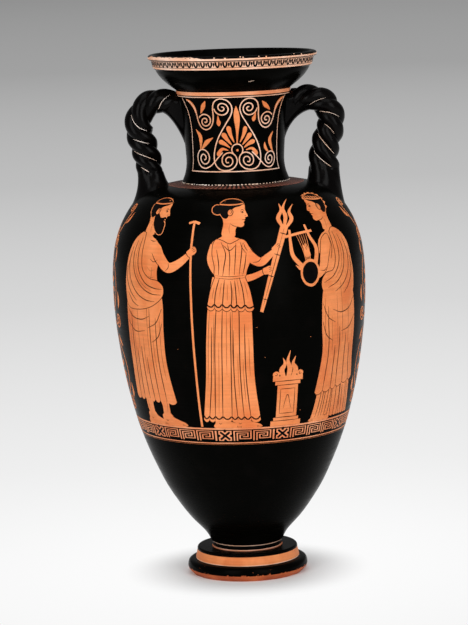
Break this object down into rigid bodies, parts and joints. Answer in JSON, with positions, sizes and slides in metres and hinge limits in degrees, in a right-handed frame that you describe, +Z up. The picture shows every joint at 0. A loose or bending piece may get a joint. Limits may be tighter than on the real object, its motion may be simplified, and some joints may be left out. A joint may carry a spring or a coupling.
{
  "type": "neck amphora",
  "caption": "Tall two-handled storage jar with an offset neck, flaring mouth, disc foot and rope handles, black glossed clay with reserved orange ornament.",
  "frame": {"origin": "centre of the foot's resting ring, on the surface the jar stands on", "axes": "+Z up along the wheel axis, -Y towards the front, +X towards the right handle"},
  "size_m": [0.2914, 0.2914, 0.605],
  "materials": {
    "black_gloss": "black gloss slip, fired, softly shining",
    "handle_gloss": "black gloss slip over rolled clay, worn along the grooves",
    "fired_clay": "bare fired orange clay with an ochre wash, satin"
  },
  "bodies": {
    "root": {"foot": "fired_clay", "foot_fillet": "black_gloss", "lower_body": "black_gloss", "shoulder": "black_gloss", "neck": "black_gloss", "mouth": "black_gloss", "right_handle_roll_1": "handle_gloss", "right_handle_roll_2": "handle_gloss", "right_handle_roll_3": "handle_gloss", "right_handle_upper_root": "handle_gloss", "right_handle_lower_root": "handle_gloss", "left_handle_roll_1": "handle_gloss", "left_handle_roll_2": "handle_gloss", "left_handle_roll_3": "handle_gloss", "left_handle_upper_root": "handle_gloss", "left_handle_lower_root": "handle_gloss"}
  },
  "joints": []
}
